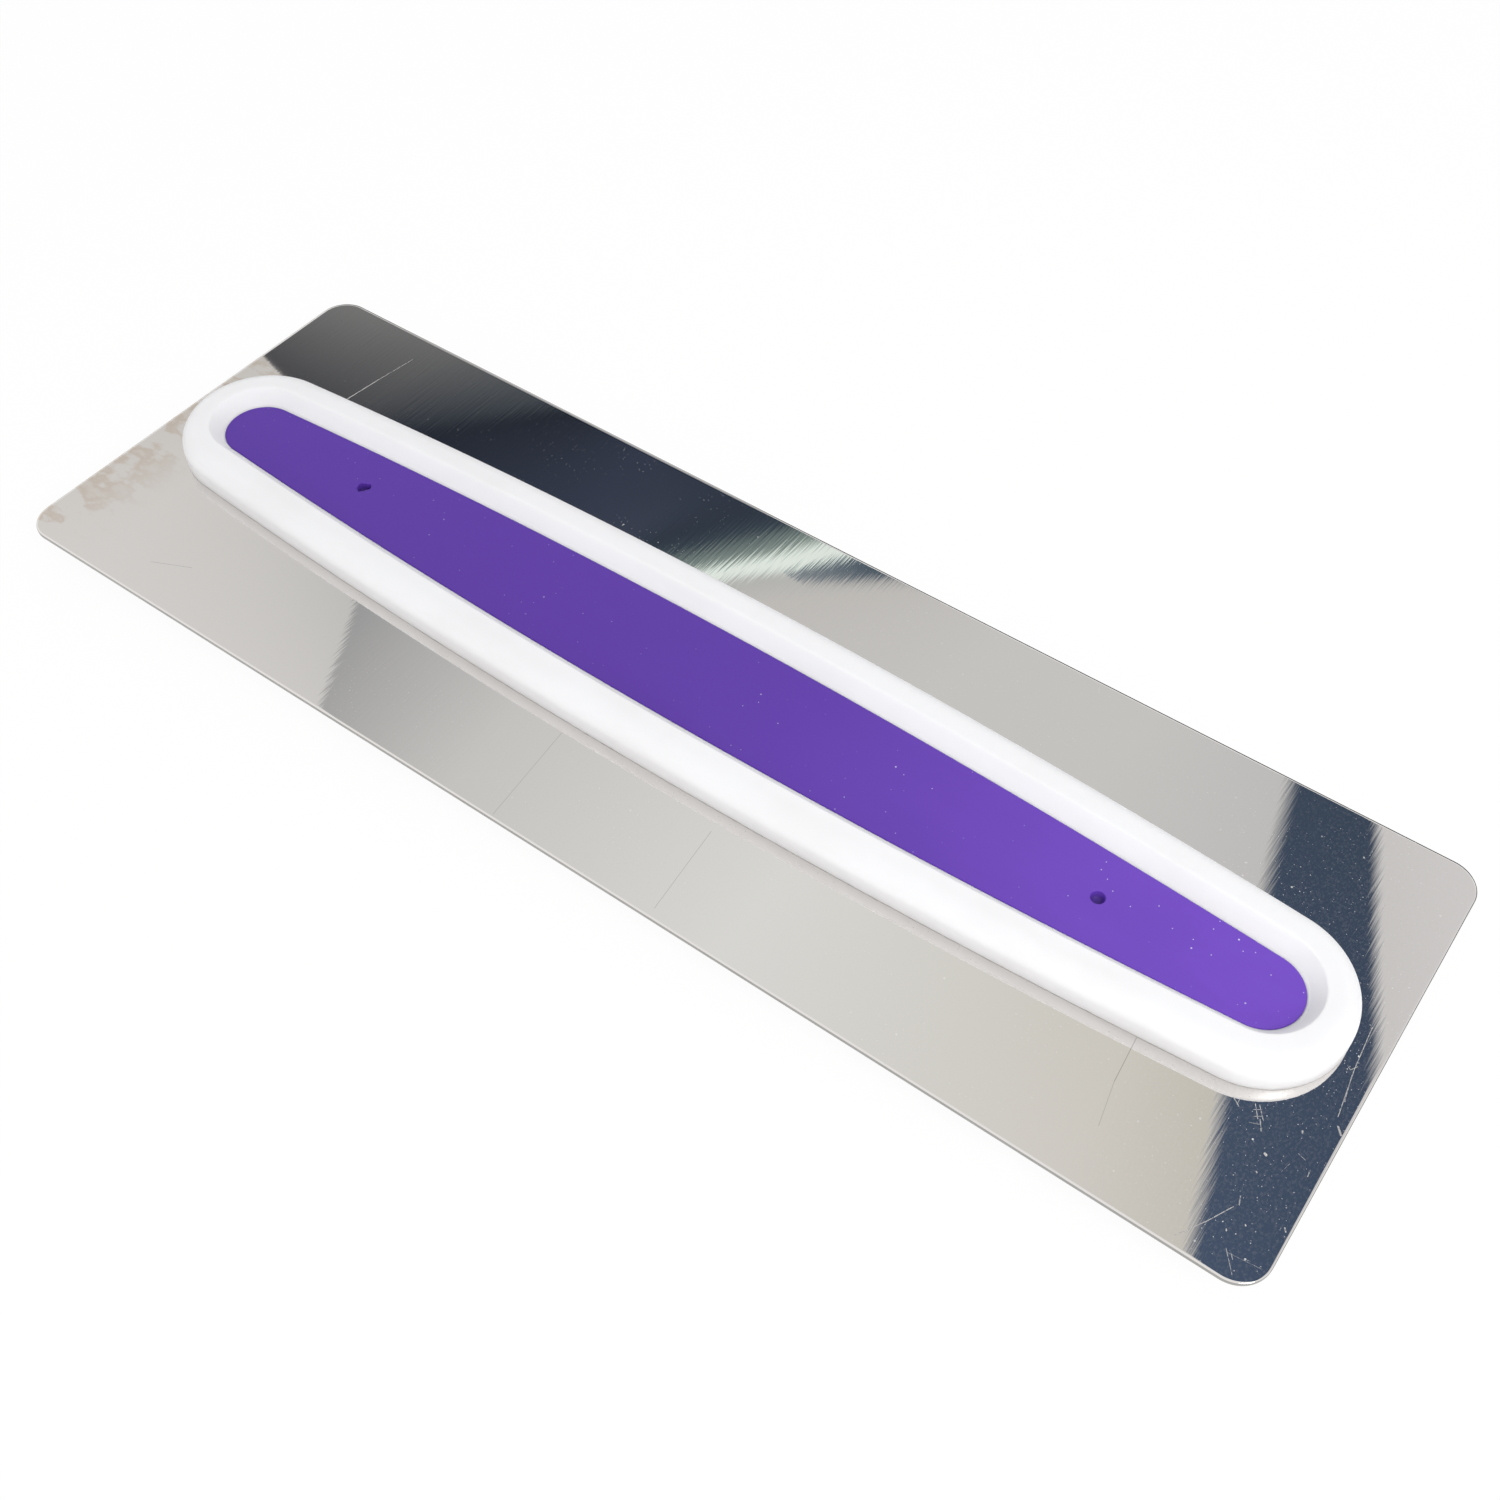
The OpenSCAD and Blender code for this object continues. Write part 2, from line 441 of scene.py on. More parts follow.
    def tone(self, pattern: Pattern) -> Socket:
        """Colour the sheet, with its dried smears and its grooves.

        Args:
            pattern: node tree of the material.

        Returns:
            Colour of the steel.
        """
        patch = pattern.mottle(self.stain_patch, 5.0)
        stained = pattern.combine(
            "MULTIPLY",
            pattern.add("MapRange", (pattern.x, *self.stain_x, 0.0, 1.0), **SMOOTH),
            pattern.add("MapRange", (pattern.y, *self.stain_y, 0.0, 1.0), **SMOOTH),
            # A smear is strongest round its rim, where the last of the water dried
            pattern.add("MapRange", (patch, 0.48, 0.58, 0.0, self.stain_share), **SMOOTH),
            pattern.add("MapRange", (patch, 0.56, 0.66, 1.0, 0.4), **SMOOTH),
        )
        tone = pattern.add("Mix", {0: stained, 6: srgb(self.colour), 7: srgb(self.stain)}, 2, data_type="RGBA")
        cuts = pattern.scratch(self.grooves, blade_face(Side.FRONT))
        return pattern.add("Mix", {0: cuts, 6: tone, 7: srgb(self.groove)}, 2, data_type="RGBA")

    def haze(self, pattern: Pattern) -> Socket:
        """Roughen the sheet where it was wiped and scratched.

        Args:
            pattern: node tree of the material.

        Returns:
            Roughness of the steel.
        """
        marks = pattern.scratch(self.strokes, blade_face(Side.FRONT))
        worn = pattern.add("MapRange", (pattern.mottle((self.scratch_grain,) * 3), 0.3, 0.55, 0.35, 1.0), **SMOOTH)
        scratch = pattern.combine("MULTIPLY", marks, worn)
        smear = pattern.mottle(self.wipe_patch, 3.0)
        wiped = (self.roughness, self.roughness + self.wipe_haze)
        clean = pattern.add("MapRange", (smear, 0.35, 0.7, *wiped), **SMOOTH)
        return pattern.add("Mix", {0: scratch, 2: clean, 3: self.scratch_roughness})

    def dusted(self, pattern: Pattern) -> Socket:
        """Find where dust lies.

        Args:
            pattern: node tree of the material.

        Returns:
            Mask of the dust.
        """
        patchy = pattern.add("MapRange", (pattern.mottle(self.dust_patch, 4.0), 0.44, 0.62, 0.06, 0.9), **SMOOTH)
        unwiped = pattern.add("MapRange", (pattern.x, *self.unwiped_x, 0.15, 0.75), **SMOOTH)
        handled = pattern.add("MapRange", (pattern.x, *self.handled_x, 0.0, self.handled_dust), **SMOOTH)
        grain = pattern.mottle(self.film_grain, 4.0)
        film = pattern.add("MapRange", (grain, 0.45, 0.75, 0.0, self.film_share), **SMOOTH)
        spread = pattern.combine("MULTIPLY", handled, self.handled_spread)
        loose = pattern.combine(
            "MULTIPLY",
            pattern.scatter(self.specks),
            pattern.combine("MAXIMUM", patchy, spread),
            pattern.combine("ADD", unwiped, handled),
        )
        return pattern.combine("MAXIMUM", loose, pattern.combine("MULTIPLY", film, handled))

    def shader(self, pattern: Pattern) -> Socket:
        """Build the shader of the bright sheet.

        Args:
            pattern: node tree of the material.

        Returns:
            The finished shader.
        """
        normal = pattern.relief(
            (pattern.mottle((self.line_pitch, self.line_run, 2.0), 2.0), self.line_height),
            (pattern.mottle((self.band_pitch, 3 * self.line_run, 2.0), 1.0), self.band_height),
            (pattern.mottle((self.wave_size, 2 * self.wave_size, 4.0), 0.0), self.wave_height),
        )
        look = {
            "Base Color": self.tone(pattern),
            "Metallic": 1.0,
            "Roughness": self.haze(pattern),
            "Normal": normal,
        }
        steel = pattern.add("BsdfPrincipled", look)
        dust = pattern.add("BsdfDiffuse", {"Color": srgb(self.dust)})
        return pattern.add("MixShader", (self.dusted(pattern), steel, dust))


@dataclass(frozen=True)
class StampedEdge(Finish):
    """Cut edge of the steel sheet, tumbled smooth, which gives a duller line than the face."""

    colour: str = "#A9A7A4"
    roughness: float = 0.32
    line_pitch: float = 0.12
    line_height: float = 0.0015
    patch: Triple = (3.0, 3.0, 1.0)

    def shader(self, pattern: Pattern) -> Socket:
        """Build the shader of the cut edge.

        Args:
            pattern: node tree of the material.

        Returns:
            The finished shader.
        """
        lines = pattern.mottle((self.line_pitch, self.line_pitch, 1.2), 3.0)
        dull = (self.roughness - 0.07, self.roughness + 0.1)
        look = {
            "Base Color": srgb(self.colour),
            "Metallic": 1.0,
            "Roughness": pattern.add("MapRange", (pattern.mottle(self.patch, 3.0), 0.3, 0.7, *dull), **SMOOTH),
            "Normal": pattern.relief((lines, self.line_height)),
        }
        return pattern.add("BsdfPrincipled", look)


@dataclass(frozen=True)
class MouldedAbs(Finish):
    """White ABS from a fine-sanded mould, which looks satin and very even."""

    colour: str = "#F3F3F5"
    # The white drifts a little towards this over the length of a finger
    shade: str = "#EEEDEE"
    shade_patch: Triple = (18.0, 9.0, 6.0)
    shade_share: float = 0.7
    roughness: float = 0.34
    ior: float = 1.53
    # Light goes about a millimetre into the white plastic, which evens out the steep slopes
    translucence: float = 0.6
    reach: float = 1.2
    # The same light inside the plastic hides how steep a slope is: its shading is that of a slope
    # whose rise is this much smaller
    evenness: float = 2.0
    # The mould's own grain is finer than a pixel, so it is drawn this coarse
    grain: float = 0.22
    grain_height: float = 0.0012
    # The wall sinks a little where it cools over the ribs
    sink_size: float = 11.0
    sink_height: float = 0.02

    def shader(self, pattern: Pattern) -> Socket:
        """Build the shader of the hard white shells.

        Args:
            pattern: node tree of the material.

        Returns:
            The finished shader.
        """
        grain = pattern.mottle((self.grain,) * 3, 2.0)
        sink = pattern.mottle((self.sink_size,) * 3, 1.0)
        facing = pattern.add("NewGeometry", out="Normal")
        flatter = pattern.add("VectorMath", (facing, (1.0, 1.0, self.evenness)), operation="MULTIPLY")
        softened = pattern.add("VectorMath", (flatter,), operation="NORMALIZE")
        patch = pattern.mottle(self.shade_patch, 3.0)
        cloud = pattern.add("MapRange", (patch, 0.4, 0.75, 0.0, self.shade_share), **SMOOTH)
        satin = (self.roughness - 0.03, self.roughness + 0.05)
        colours = {0: cloud, 6: srgb(self.colour), 7: srgb(self.shade)}
        look = {
            "Base Color": pattern.add("Mix", colours, 2, data_type="RGBA"),
            "Roughness": pattern.add("MapRange", (grain, 0.2, 0.8, *satin), **SMOOTH),
            "IOR": self.ior,
            "Normal": pattern.relief((grain, self.grain_height), (sink, self.sink_height), normal=softened),
            "Subsurface Weight": self.translucence,
            "Subsurface Radius": (1.0, 1.0, 1.0),
            "Subsurface Scale": self.reach * MM,
        }
        return pattern.add("BsdfPrincipled", look)


@dataclass(frozen=True)
class SoftTouchTpe(Finish):
    """Purple thermoplastic elastomer, moulded in place: satin-matte, and it holds a little dust."""

    colour: str = "#5B36A4"
    # Flow from the gates leaves faint darker clouds
    shade: str = "#55329D"
    flow_patch: Triple = (24.0, 8.0, 6.0)
    flow_share: float = 0.14
    # Painted light: the insert is painted paler towards its +X end, where the lamp lights it more, between these
    # places
    pale: str = "#744AC5"
    painted_light_x: Point = (-10.0, 115.0)
    # Painted shade in the gate wells: the purple is painted darker towards this colour from the first depth to the
    # second
    painted_well_shade: str = "#24104F"
    painted_shade_depth: Point = (0.35, 1.15)
    painted_shade_share: float = 0.55
    dust: str = "#E6DFF4"
    specks: tuple[Specks, ...] = (Specks(1.6, 0.1, 0.1), Specks(5.0, 0.17, 0.14))
    dust_patch: Triple = (20.0, 9.0, 8.0)
    dust_x: Point = (-60.0, 60.0)
    roughness: float = 0.5
    ior: float = 1.5
    specular: float = 0.25
    grain: float = 0.26
    grain_height: float = 0.0022

    def painted_well_shade_mask(self, pattern: Pattern) -> Socket:
        """Paint shade into the gate wells, darker the deeper each place lies.

        Args:
            pattern: node tree of the material.

        Returns:
            Mask of the painted shade, the same on both inserts.
        """
        middle = (blade_face(Side.BACK) + blade_face(Side.FRONT)) / 2
        top = node_box("front_grip")[1].z - middle
        offset = pattern.add("Math", (pattern.z, middle), operation="SUBTRACT")
        level = pattern.add("Math", (offset,), operation="ABSOLUTE")
        depths = [top - depth for depth in self.painted_shade_depth]
        return pattern.add("MapRange", (level, *depths, 0.0, self.painted_shade_share), **SMOOTH)

    def dusted(self, pattern: Pattern) -> Socket:
        """Find where dust lies.

        Args:
            pattern: node tree of the material.

        Returns:
            Mask of the dust.
        """
        patch = pattern.mottle(self.dust_patch, 2.0)
        return pattern.combine(
            "MULTIPLY",
            pattern.scatter(self.specks),
            pattern.add("MapRange", (patch, 0.4, 0.6, 0.1, 0.9), **SMOOTH),
            pattern.add("MapRange", (pattern.x, *self.dust_x, 0.3, 1.0), **SMOOTH),
        )

    def shader(self, pattern: Pattern) -> Socket:
        """Build the shader of the soft inserts.

        Args:
            pattern: node tree of the material.

        Returns:
            The finished shader.
        """
        grain = pattern.mottle((self.grain,) * 3, 3.0)
        patch = pattern.mottle(self.flow_patch, 4.0)
        tone: Socket | Colour = srgb(self.colour)
        for mask, colour in (
            # painted light: paler towards the +X end
            (pattern.add("MapRange", (pattern.x, *self.painted_light_x, 0.0, 1.0), **SMOOTH), self.pale),
            (pattern.add("MapRange", (patch, 0.35, 0.7, 0.0, self.flow_share), **SMOOTH), self.shade),
            (self.dusted(pattern), self.dust),
            # painted shade, darker deeper in the gate wells
            (self.painted_well_shade_mask(pattern), self.painted_well_shade),
        ):
            tone = pattern.add("Mix", {0: mask, 6: tone, 7: srgb(colour)}, 2, data_type="RGBA")
        satin = (self.roughness - 0.04, self.roughness + 0.08)
        look = {
            "Base Color": tone,
            "Roughness": pattern.add("MapRange", (grain, 0.2, 0.8, *satin), **SMOOTH),
            "IOR": self.ior,
            "Specular IOR Level": self.specular,
            "Normal": pattern.relief((grain, self.grain_height)),
        }
        return pattern.add("BsdfPrincipled", look)


# Outlines and meshes


@dataclass(frozen=True)
class BoatOutline:
    """Boat-shaped outline: two long arcs that meet two tangent arcs at the ends."""

    half_l: float
    half_w: float
    side_r: float
    side_steps: int = 44
    end_steps: int = 56

    def points(self) -> list[Vector]:
        """Walk once round the outline.

        Returns:
            Points against the clock, from the end of the +X arc on the -Y side.
        """
        side_c = self.side_r - self.half_w
        end_r = (2 * self.side_r * self.half_w - self.half_w**2 - self.half_l**2) / (
            2 * (self.side_r - self.half_l)
        )
        end_x = self.half_l - end_r
        side_a = math.atan2(end_x, side_c)
        half: list[Vector] = []
        for i in range(self.end_steps + 1):
            a = (math.pi / 2 - side_a) * (2 * i / self.end_steps - 1)
            half.append(Vector((end_x, 0)) + end_r * Vector((math.cos(a), math.sin(a))))
        for i in range(1, self.side_steps):
            a = side_a * (1 - 2 * i / self.side_steps)
            half.append(self.side_r * Vector((math.sin(a), math.cos(a))) - Vector((0, side_c)))
        return half + [-point for point in half]


@dataclass(frozen=True)
class HandleOutline:
    """Outlines of the half-shell and of the insert, with the hard rim between them."""

    shell: BoatOutline
    insert: BoatOutline
    rim_w: float

    @classmethod
    def from_frame(cls, shell_side_r: float = 1200.0, insert_side_r: float = 1300.0) -> "HandleOutline":
        """Read the outlines' lengths and widths from the frame.

        Args:
            shell_side_r: radius of the shell's long sides.
            insert_side_r: radius of the insert's long sides.

        Returns:
            The outlines.
        """
        shell = node_box("front_shell")[1]
        insert = node_box("front_grip")[1]
        return cls(
            BoatOutline(shell.x, shell.y, shell_side_r),
            BoatOutline(insert.x, insert.y, insert_side_r),
            shell.y - insert.y,
        )

    def stations(self) -> list[Station]:
        """Pair the two outlines.

        Returns:
            Each point of the shell's outline with the step inwards for one millimetre of rim.
        """
        pairs = zip(self.shell.points(), self.insert.points())
        return [(outer, (inner - outer) / self.rim_w) for outer, inner in pairs]


@dataclass(frozen=True)
class SheetOutline:
    """Outline of the blade: a rectangle with round corners."""

    half_l: float
    half_w: float
    corner_r: float = 5.0
    corner_steps: int = 24

    def stations(self) -> list[Station]:
        """Walk once round the outline.

        Returns:
            Each point with its inward direction, against the clock.
        """
        stations: list[Station] = []
        core = Vector((self.half_l - self.corner_r, self.half_w - self.corner_r))
        for quarter, (x, y) in enumerate(((1, 1), (-1, 1), (-1, -1), (1, -1))):
            for i in range(self.corner_steps + 1):
                a = math.pi / 2 * (quarter + i / self.corner_steps)
                out = Vector((math.cos(a), math.sin(a)))
                stations.append((Vector((x * core.x, y * core.y)) + self.corner_r * out, -out))
        return stations


def fillet(before: Point, corner: Point, after: Point, radius: float, steps: int) -> list[Point]:
    """Round one corner of a path.

    Args:
        before: point before the corner.
        corner: the corner.
        after: point after the corner.
        radius: radius of the arc.
        steps: steps along the arc.

    Returns:
        Points of the arc, from its start to its end.
    """
    b = Vector(corner)
    u = (Vector(before) - b).normalized()
    v = (Vector(after) - b).normalized()
    half = math.acos(max(-1.0, min(1.0, u.dot(v)))) / 2
    centre = b + (u + v).normalized() * radius / math.sin(half)
    spoke = b + u * radius / math.tan(half) - centre
    turn = math.copysign(math.pi - 2 * half, (-u).cross(v))
    points: list[Point] = []
    for i in range(steps + 1):
        c, s = math.cos(turn * i / steps), math.sin(turn * i / steps)
        points.append((centre.x + spoke.x * c - spoke.y * s, centre.y + spoke.x * s + spoke.y * c))
    return points


class SweptBody:
    """Closed body that grows ring by ring round an outline."""

    def __init__(self, stations: list[Station], side: Side, base: float | None = None) -> None:
        """Start an empty body.

        Args:
            stations: points of the outline, each with its step inwards for one millimetre.
            side: face of the blade that the body grows from.
            base: height that it grows from, where that isn't the blade's face.
        """
        self.stations = stations
        self.side = side
        self.base = blade_face(side) if base is None else base
        self.mesh = bmesh.new()

    def vertex(self, x: float, y: float, height: float) -> bmesh.types.BMVert:
        """Add one point, with its height above the body's base."""
        return self.mesh.verts.new((x * MM, y * MM, (self.base + self.side.value * height) * MM))

    def ring(self, inset: float, height: float) -> Ring:
        """Add a ring of points at an inset from the outline."""
        return [self.vertex(p.x + step.x * inset, p.y + step.y * inset, height) for p, step in self.stations]

    def join(self, first: Ring, second: Ring, material: int = 0) -> None:
        """Join two rings by a band of faces.

        Args:
            first: one ring.
            second: ring with as many points.
            material: number of the material slot.
        """
        count = len(first)
        for i in range(count):
            j = (i + 1) % count
            self.mesh.faces.new((first[i], first[j], second[j], second[i])).material_index = material

    def wall(self, path: list[Point], edge_bands: range = range(0)) -> list[Ring]:
        """Sweep a path round the outline.

        Args:
            path: points as inset and height.
            edge_bands: bands that take the second material.

        Returns:
            Ring of each point of the path.
        """
        rings = [self.ring(*point) for point in path]
        for i, (first, second) in enumerate(pairwise(rings)):
            self.join(first, second, int(i in edge_bands))
        return rings

    def cap(self, ring: Ring) -> None:
        """Close a ring with one flat face."""
        self.mesh.faces.new(ring)

    def fill(self, rings: list[Ring]) -> None:
        """Close the flat face between an outer ring and the rings of its holes.

        Args:
            rings: the outer ring and the rings of the holes.
        """
        edges = [
            self.mesh.edges.get((a, b)) or self.mesh.edges.new((a, b))
            for ring in rings
            for a, b in zip(ring, ring[1:] + ring[:1])
        ]
        bmesh.ops.triangle_fill(self.mesh, use_beauty=True, edges=edges, normal=(0, 0, self.side.value))

    def finish(self, title: str, slot: str, node: str, finishes: list[bpy.types.Material]) -> bpy.types.Object:
        """Turn the body into a piece of the scene.

        Args:
            title: name of the piece.
            slot: material slot of the record; not used.
            node: node of the frame that it stands for.
            finishes: its materials.

        Returns:
            The piece, riding on the root body.
        """
        bmesh.ops.recalc_face_normals(self.mesh, faces=self.mesh.faces[:])
        piece = mesh_object(title, self.mesh, *finishes)
        piece.data.shade_smooth()
        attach(piece, "root")
        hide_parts(node)
        LOG.info("%s: %d faces, stands for %s", title, len(piece.data.polygons), node)
        return piece


# Pieces of the tool


@dataclass(frozen=True)
class Blade:
    """Steel sheet with four round corners and slightly rounded edges."""

    edge_r: float = 0.2
    edge_steps: int = 4
    # Width of the flat ring that keeps the shading of the faces level up to the edge
    support: float = 0.3

    def build(self, face: bpy.types.Material, edge: bpy.types.Material) -> bpy.types.Object:
        """Build the sheet.

        Args:
            face: material of the two faces.
            edge: material of the cut edge.

        Returns:
            The blade.
        """
        low, high = node_box("blade")
        thick = high.z - low.z
        body = SweptBody(SheetOutline(high.x, high.y).stations(), Side.FRONT, low.z)
        inner = self.edge_r + self.support
        top = fillet((inner, thick), (0, thick), (0, 0), self.edge_r, self.edge_steps)
        bottom = fillet((0, thick), (0, 0), (inner, 0), self.edge_r, self.edge_steps)
        path = [(inner, thick), *top, *bottom, (inner, 0)]
        cut = range(1 + self.edge_steps // 2, len(path) - 2 - self.edge_steps // 2)
        rings = body.wall(path, cut)
        body.cap(rings[0])
        body.cap(rings[-1])
        return body.finish("steel_blade", "steel", "blade", [face, edge])


@dataclass(frozen=True)
class HalfShell:
    """Hard half of the handle, with its rounded rim and the recess that leads down to the insert."""

    side: Side
    outline: HandleOutline
    height: float
    insert_top: float
    edge_r: float = 3.2
    crest_r: float = 0.5
    slope_w: float = 2.3
    slope_lean: float = 34.0
    hollow_r: float = 0.6
    insert_proud: float = 0.2
    insert_t: float = 1.6
    lip_r: float = 0.1
    foot_r: float = 0.12
    edge_steps: int = 18
    small_steps: int = 6

    def path(self) -> list[Point]:
        """Lay out the wall.

        Returns:
            Points as inset and height, from the insert's pocket over the rim and down to the blade.
        """
        foot_z = self.insert_top - self.insert_proud
        crest_in = self.outline.rim_w - self.slope_w
        slope_in = crest_in + (self.height - foot_z) * math.tan(math.radians(self.slope_lean))
        floor = (self.outline.rim_w, self.insert_top - self.insert_t)
        pocket = (self.outline.rim_w, foot_z)
        foot = (slope_in, foot_z)
        crest = (crest_in, self.height)
        edge = (0.0, self.height)
        base = (0.0, 0.0)
        inner = (self.foot_r + 0.4, 0.0)
        return [
            floor,
            *fillet(floor, pocket, foot, self.lip_r, self.small_steps // 2),
            *fillet(pocket, foot, crest, self.hollow_r, 2 * self.small_steps),
            *fillet(foot, crest, edge, self.crest_r, 2 * self.small_steps),
            *fillet(crest, edge, base, self.edge_r, self.edge_steps),
            *fillet(edge, base, inner, self.foot_r, self.small_steps // 2),
            inner,
        ]

    def build(self, finish: bpy.types.Material) -> bpy.types.Object:
        """Build the half-shell.

        Args:
            finish: material of the shell.

        Returns:
            The half-shell.
        """
        name = self.side.name.lower()
        body = SweptBody(self.outline.stations(), self.side)
        rings = body.wall(self.path())
        body.cap(rings[0])
        body.cap(rings[-1])
        return body.finish(f"{name}_half_shell", "white_plastic", f"{name}_shell", [finish])


@dataclass(frozen=True)
class GateWell:
    """Well that a moulding gate leaves: a clean bowl, or a torn one with a stub in it."""

    x: float
    radius: float = 1.08
    depth: float = 1.25
    lip_r: float = 0.18
    # Below 1, the bowl's wall is steeper and its floor wider than a round one's
    fullness: float = 0.6
    stretch: float = 1.0
    tear: float = 0.0
    # Waves of the torn rim: how many go round, where they start and how high they are
    waves: tuple[Triple, ...] = ((2, 0.6, 1.0), (3, -0.4, 0.7), (7, 0.0, 0.4))
    stub: float = 0.0
    stub_slope: float = 2.2
    spokes: int = 40
    lip_steps: int = 5
    bowl_steps: int = 12

    def profile(self) -> list[Point]:
        """Lay out the well.

        Returns:
            Points as radius and depth below the insert's surface, from the lip to the middle.
        """
        # The flat ring in the surface clears the torn rim
        clear = 0.1 + sum(high for _, _, high in self.waves)
        points = [(self.radius * (1 + clear * self.tear) + 2.0 * self.lip_r, 0.0)]
        for i in range(self.lip_steps):
            a = math.pi / 2 * i / (self.lip_steps - 1)
            points.append((self.radius + self.lip_r * (1 - math.sin(a)), self.lip_r * (1 - math.cos(a))))
        bowl = self.depth - self.lip_r
        for i in range(1, self.bowl_steps):
            a = math.pi / 2 * i / self.bowl_steps
            reach = math.cos(a) ** self.fullness
            rise = self.stub * max(0.0, 1 - self.stub_slope * reach)
            points.append((self.radius * reach, self.lip_r + bowl * math.sin(a) - rise))
        return points

    def sink(self, body: SweptBody, top: float) -> Ring:
        """Build the well in an insert.

        Args:
            body: the insert.
            top: height of the insert's surface.

        Returns:
            Ring of the well in the surface, which the surface is closed against.
        """
        rings: list[Ring] = []
        for number, (radius, fall) in enumerate(self.profile()):
            ring: Ring = []
            for i in range(self.spokes):
                a = 2 * math.pi * i / self.spokes
                torn = sum(high * math.sin(turns * a + start) for turns, start, high in self.waves)
                reach = radius * (1 + self.tear * torn * min(1, number))
                ring.append(body.vertex(self.x + reach * math.cos(a), self.stretch * reach * math.sin(a), top - fall))
            rings.append(ring)
        for first, second in pairwise(rings):
            body.join(first, second)
        middle = body.vertex(self.x, 0.0, top - self.depth + self.stub)
        last = rings[-1]
        for i in range(self.spokes):
            body.mesh.faces.new((last[i], last[(i + 1) % self.spokes], middle))
        return rings[0]


@dataclass(frozen=True)
class SoftInsert:
    """Soft insert that fills the recess, with a rolled edge and two gate wells."""

    side: Side
    outline: HandleOutline
    insert_top: float
    wells: tuple[GateWell, ...]
    thickness: float = 1.6
    roll_r: float = 0.22
    # The moulding shrinks this far from its pocket, which draws the fine line round it
    shrink: float = 0.02
    support: float = 0.35
    roll_steps: int = 6

    def build(self, finish: bpy.types.Material) -> bpy.types.Object:
        """Build the insert.

        Args:
            finish: material of the insert.

        Returns:
            The insert.
        """
        name = self.side.name.lower()
        body = SweptBody(self.outline.stations(), self.side)
        outer = self.outline.rim_w + self.shrink
        floor = (outer, self.insert_top - self.thickness)
        inner = (outer + self.roll_r + self.support, self.insert_top)
        edge = fillet(inner, (outer, self.insert_top), floor, self.roll_r, self.roll_steps)
        rings = body.wall([inner, *edge, floor])
        body.cap(rings[-1])
        body.fill([rings[0], *(well.sink(body, self.insert_top) for well in self.wells)])
        return body.finish(f"{name}_soft_insert", "purple_soft", f"{name}_grip", [finish])


# Studio


@dataclass(frozen=True)
class Rail:
    """One line across a reflection card, with the tones that the steel shows along it."""

    points: tuple[Point, ...]
    tones: tuple[str, ...]

    def at(self, share: float) -> tuple[Point, tuple[float, ...]]:
        """Read the rail part of the way along.

        Args:
            share: share of the way, from 0 to 1.

        Returns:
            The point and its tone in linear light.
        """
        return along(self.points, share), along([srgb(tone)[:3] for tone in self.tones], share)


def along(values: Sequence[tuple[float, ...]], share: float) -> tuple[float, ...]:
    """Read an evenly spaced list part of the way along.

    Args:
        values: one or more values.
        share: share of the way, from 0 to 1.

    Returns:
        Value there, between its two neighbours.
    """
    place = share * (len(values) - 1)
    first = min(int(place), max(0, len(values) - 2))
    second = min(first + 1, len(values) - 1)
    return tuple(a + (b - a) * (place - first) for a, b in zip(values[first], values[second]))


def show_to_mirrors(piece: bpy.types.Object) -> None:
    """Hide a piece of the studio from all but the shiny surfaces."""
    for ray in ("camera", "diffuse", "shadow", "transmission"):
        setattr(piece, f"visible_{ray}", False)


@dataclass(frozen=True)
class ReflectionCard:
    """Card above the table that only the shiny steel sees.

    Its rails are laid out on the blade, where their reflection shows, and are thrown up to the
    card's height by mirroring the camera's line of sight.
    """

    title: str
    rails: tuple[Rail, ...]
    height: float = 420.0
    rows: int = 25
    steel: str = BrightRolledStainless.colour
    # Tone over the steel's own colour that a card never passes
    brightest: float = 1.6

    def build(self, eye: Vector, blade_z: float) -> bpy.types.Object:
        """Build the card.

        Args:
            eye: camera's place in millimetres.
            blade_z: height of the blade's face in millimetres.

        Returns:
            The card.
        """
        mesh = bmesh.new()
        glow = mesh.verts.layers.float_color.new("glow")
        throw = self.height / (eye.z - blade_z)
        steel = srgb(self.steel)
        lines: list[Ring] = []
        for rail in self.rails:
            line: Ring = []
            for row in range(self.rows):
                (x, y), shown = rail.at(row / (self.rows - 1))
                spot = Vector((x + (x - eye.x) * throw, y + (y - eye.y) * throw, blade_z + self.height))
                corner = mesh.verts.new(spot * MM)
                corner[glow] = (*(min(self.brightest, tone / metal) for tone, metal in zip(shown, steel)), 1.0)
                line.append(corner)
            lines.append(line)
        for first, second in pairwise(lines):
            for i in range(self.rows - 1):
                mesh.faces.new((first[i], first[i + 1], second[i + 1], second[i]))
        material = new_material(self.title)
        nodes = Nodes(material.node_tree)
        tone = nodes.add("VertexColor", out="Color", layer_name="glow")
        nodes.end(nodes.add("Emission", (tone, 1.0)))
        card = mesh_object(self.title, mesh, material)
        show_to_mirrors(card)
        return card


@dataclass(frozen=True)
class SoftLamp:
    """Square soft lamp that points at the tool, with its place and side in metres."""

    title: str
    place: Triple
    side: float
    watts: float
    mirrored: bool = True

    def build(self) -> bpy.types.Object:
        """Build the lamp.

        Returns:
            The lamp.
        """
        data = bpy.data.lights.new(self.title, "AREA")
        data.shape = "SQUARE"
        data.size = self.side
        data.energy = self.watts
        lamp = bpy.data.objects.new(self.title, data)
        lamp.location = self.place
        lamp.rotation_euler = (-Vector(self.place)).to_track_quat("-Z", "Y").to_euler()
        lamp.visible_glossy = self.mirrored
        bpy.context.scene.collection.objects.link(lamp)
        return lamp


